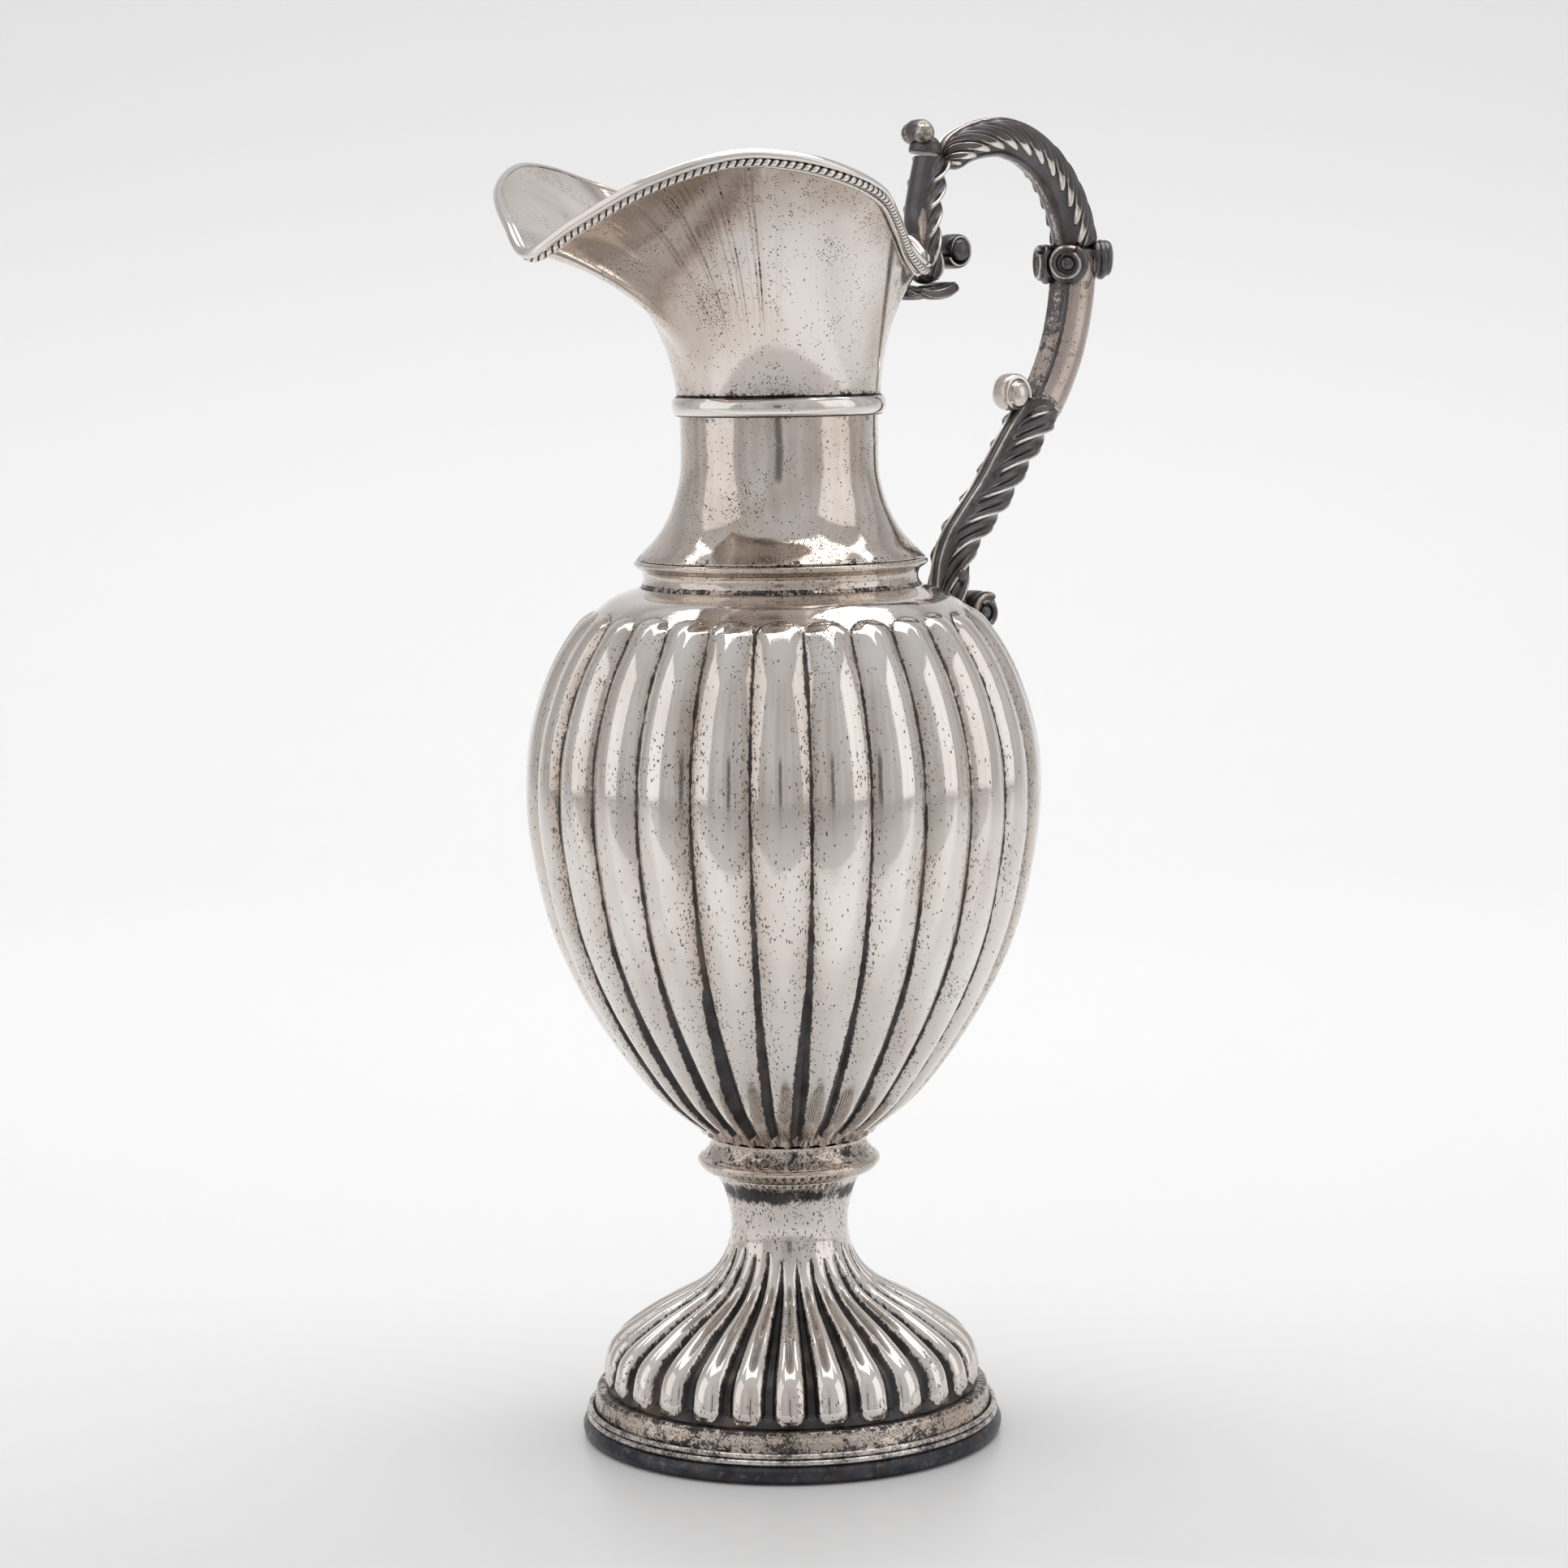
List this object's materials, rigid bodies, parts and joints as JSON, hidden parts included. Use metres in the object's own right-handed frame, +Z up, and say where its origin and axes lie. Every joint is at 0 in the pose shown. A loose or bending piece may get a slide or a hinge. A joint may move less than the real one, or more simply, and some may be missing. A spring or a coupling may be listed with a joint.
{
  "type": "silver water pitcher",
  "caption": "Tall silver pitcher with a lobed egg-shaped body on a fluted foot, a plain neck, a wide pouring mouth with a roped border and a cast leaf-work handle.",
  "frame": {"origin": "middle of the base ring's flat underside, on the table", "axes": "+Z up along the vessel's axis, -X towards the spout, +X towards the handle, Y across; the plane Y = 0 is the plane of symmetry"},
  "size_m": [0.2075, 0.142, 0.3645],
  "materials": {
    "sheet_silver": "polished sheet silver, pitted, with a warm tarnish",
    "fluted_silver": "polished lobed sheet silver with black oxidised grooves",
    "polished_silver": "bright polished silver wire and strip",
    "roped_silver": "bright twisted silver wire in a dark groove",
    "oxidised_silver": "cast silver, dark oxidised with worn bright ridges",
    "grip_silver": "cast silver, half oxidised and worn by the hand",
    "blackened_silver": "silver ring, heavily blackened"
  },
  "bodies": {
    "root": {"base_ring": "blackened_silver", "lower_foot_wire": "polished_silver", "upper_foot_wire": "polished_silver", "plinth": "sheet_silver", "fluted_foot": "fluted_silver", "waist_collar": "sheet_silver", "lobed_body": "fluted_silver", "shoulder_collar": "sheet_silver", "neck_tube": "sheet_silver", "neck_band": "polished_silver", "mouth_funnel": "sheet_silver", "border_wire": "polished_silver", "roped_wire": "roped_silver", "rim_lip": "polished_silver", "bracket": "oxidised_silver", "bracket_curl": "oxidised_silver", "bracket_scroll": "oxidised_silver", "leaf_spray": "oxidised_silver", "handle_arch": "oxidised_silver", "near_inner_volute": "oxidised_silver", "far_inner_volute": "oxidised_silver", "near_outer_volute": "oxidised_silver", "far_outer_volute": "oxidised_silver", "grip": "grip_silver", "leg_curl": "oxidised_silver", "handle_leg": "oxidised_silver", "near_leg_boss": "oxidised_silver", "far_leg_boss": "oxidised_silver", "foot_volute": "oxidised_silver"}
  },
  "joints": []
}
